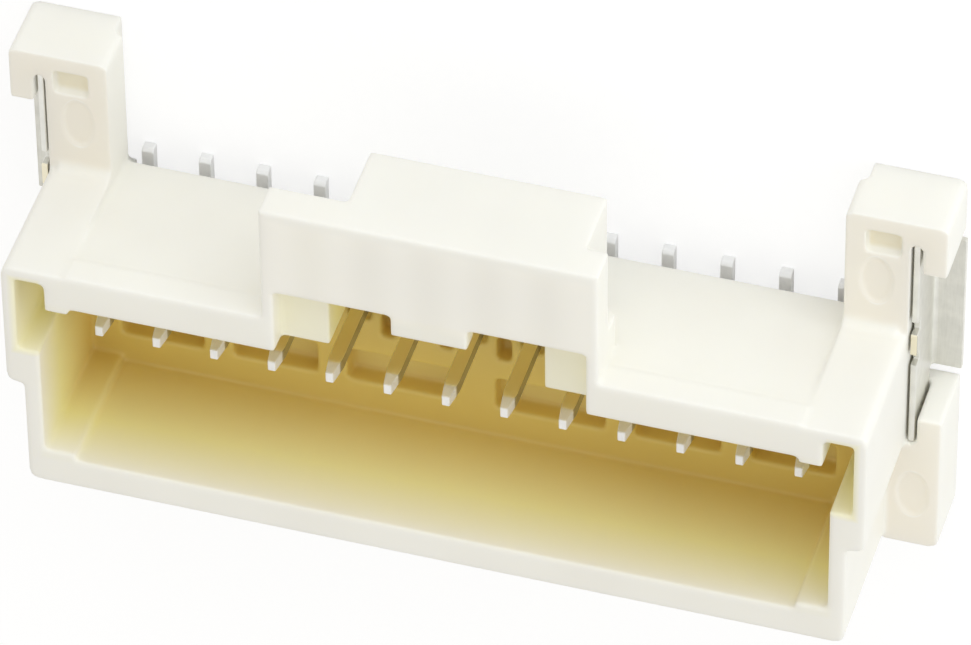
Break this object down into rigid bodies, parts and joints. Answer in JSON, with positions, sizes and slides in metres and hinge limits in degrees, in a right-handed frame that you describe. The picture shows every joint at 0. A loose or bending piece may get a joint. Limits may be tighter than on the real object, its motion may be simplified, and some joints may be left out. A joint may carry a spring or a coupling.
{
  "type": "pin header",
  "caption": "Shrouded surface-mount pin header for a cable plug, with a row of contacts in an ivory nylon shroud, a lock arch, and two ears that hold solder tabs.",
  "frame": {"origin": "middle of the footprint, on the board", "axes": "+X along the row of contacts, +Y towards the lock and the solder tails, +Z away from the board, the way the plug comes out"},
  "size_m": [0.032, 0.0144, 0.0077],
  "materials": {
    "nylon": "natural ivory nylon, as moulded, slightly translucent",
    "tab_tin": "tin-plated brass sheet",
    "contact_tin": "tin-plated brass wire"
  },
  "bodies": {
    "root": {"housing": "nylon", "left_solder_tab": "tab_tin", "right_solder_tab": "tab_tin", "contact_1": "contact_tin", "contact_2": "contact_tin", "contact_3": "contact_tin", "contact_4": "contact_tin", "contact_5": "contact_tin", "contact_6": "contact_tin", "contact_7": "contact_tin", "contact_8": "contact_tin", "contact_9": "contact_tin", "contact_10": "contact_tin", "contact_11": "contact_tin", "contact_12": "contact_tin", "contact_13": "contact_tin"}
  },
  "joints": []
}
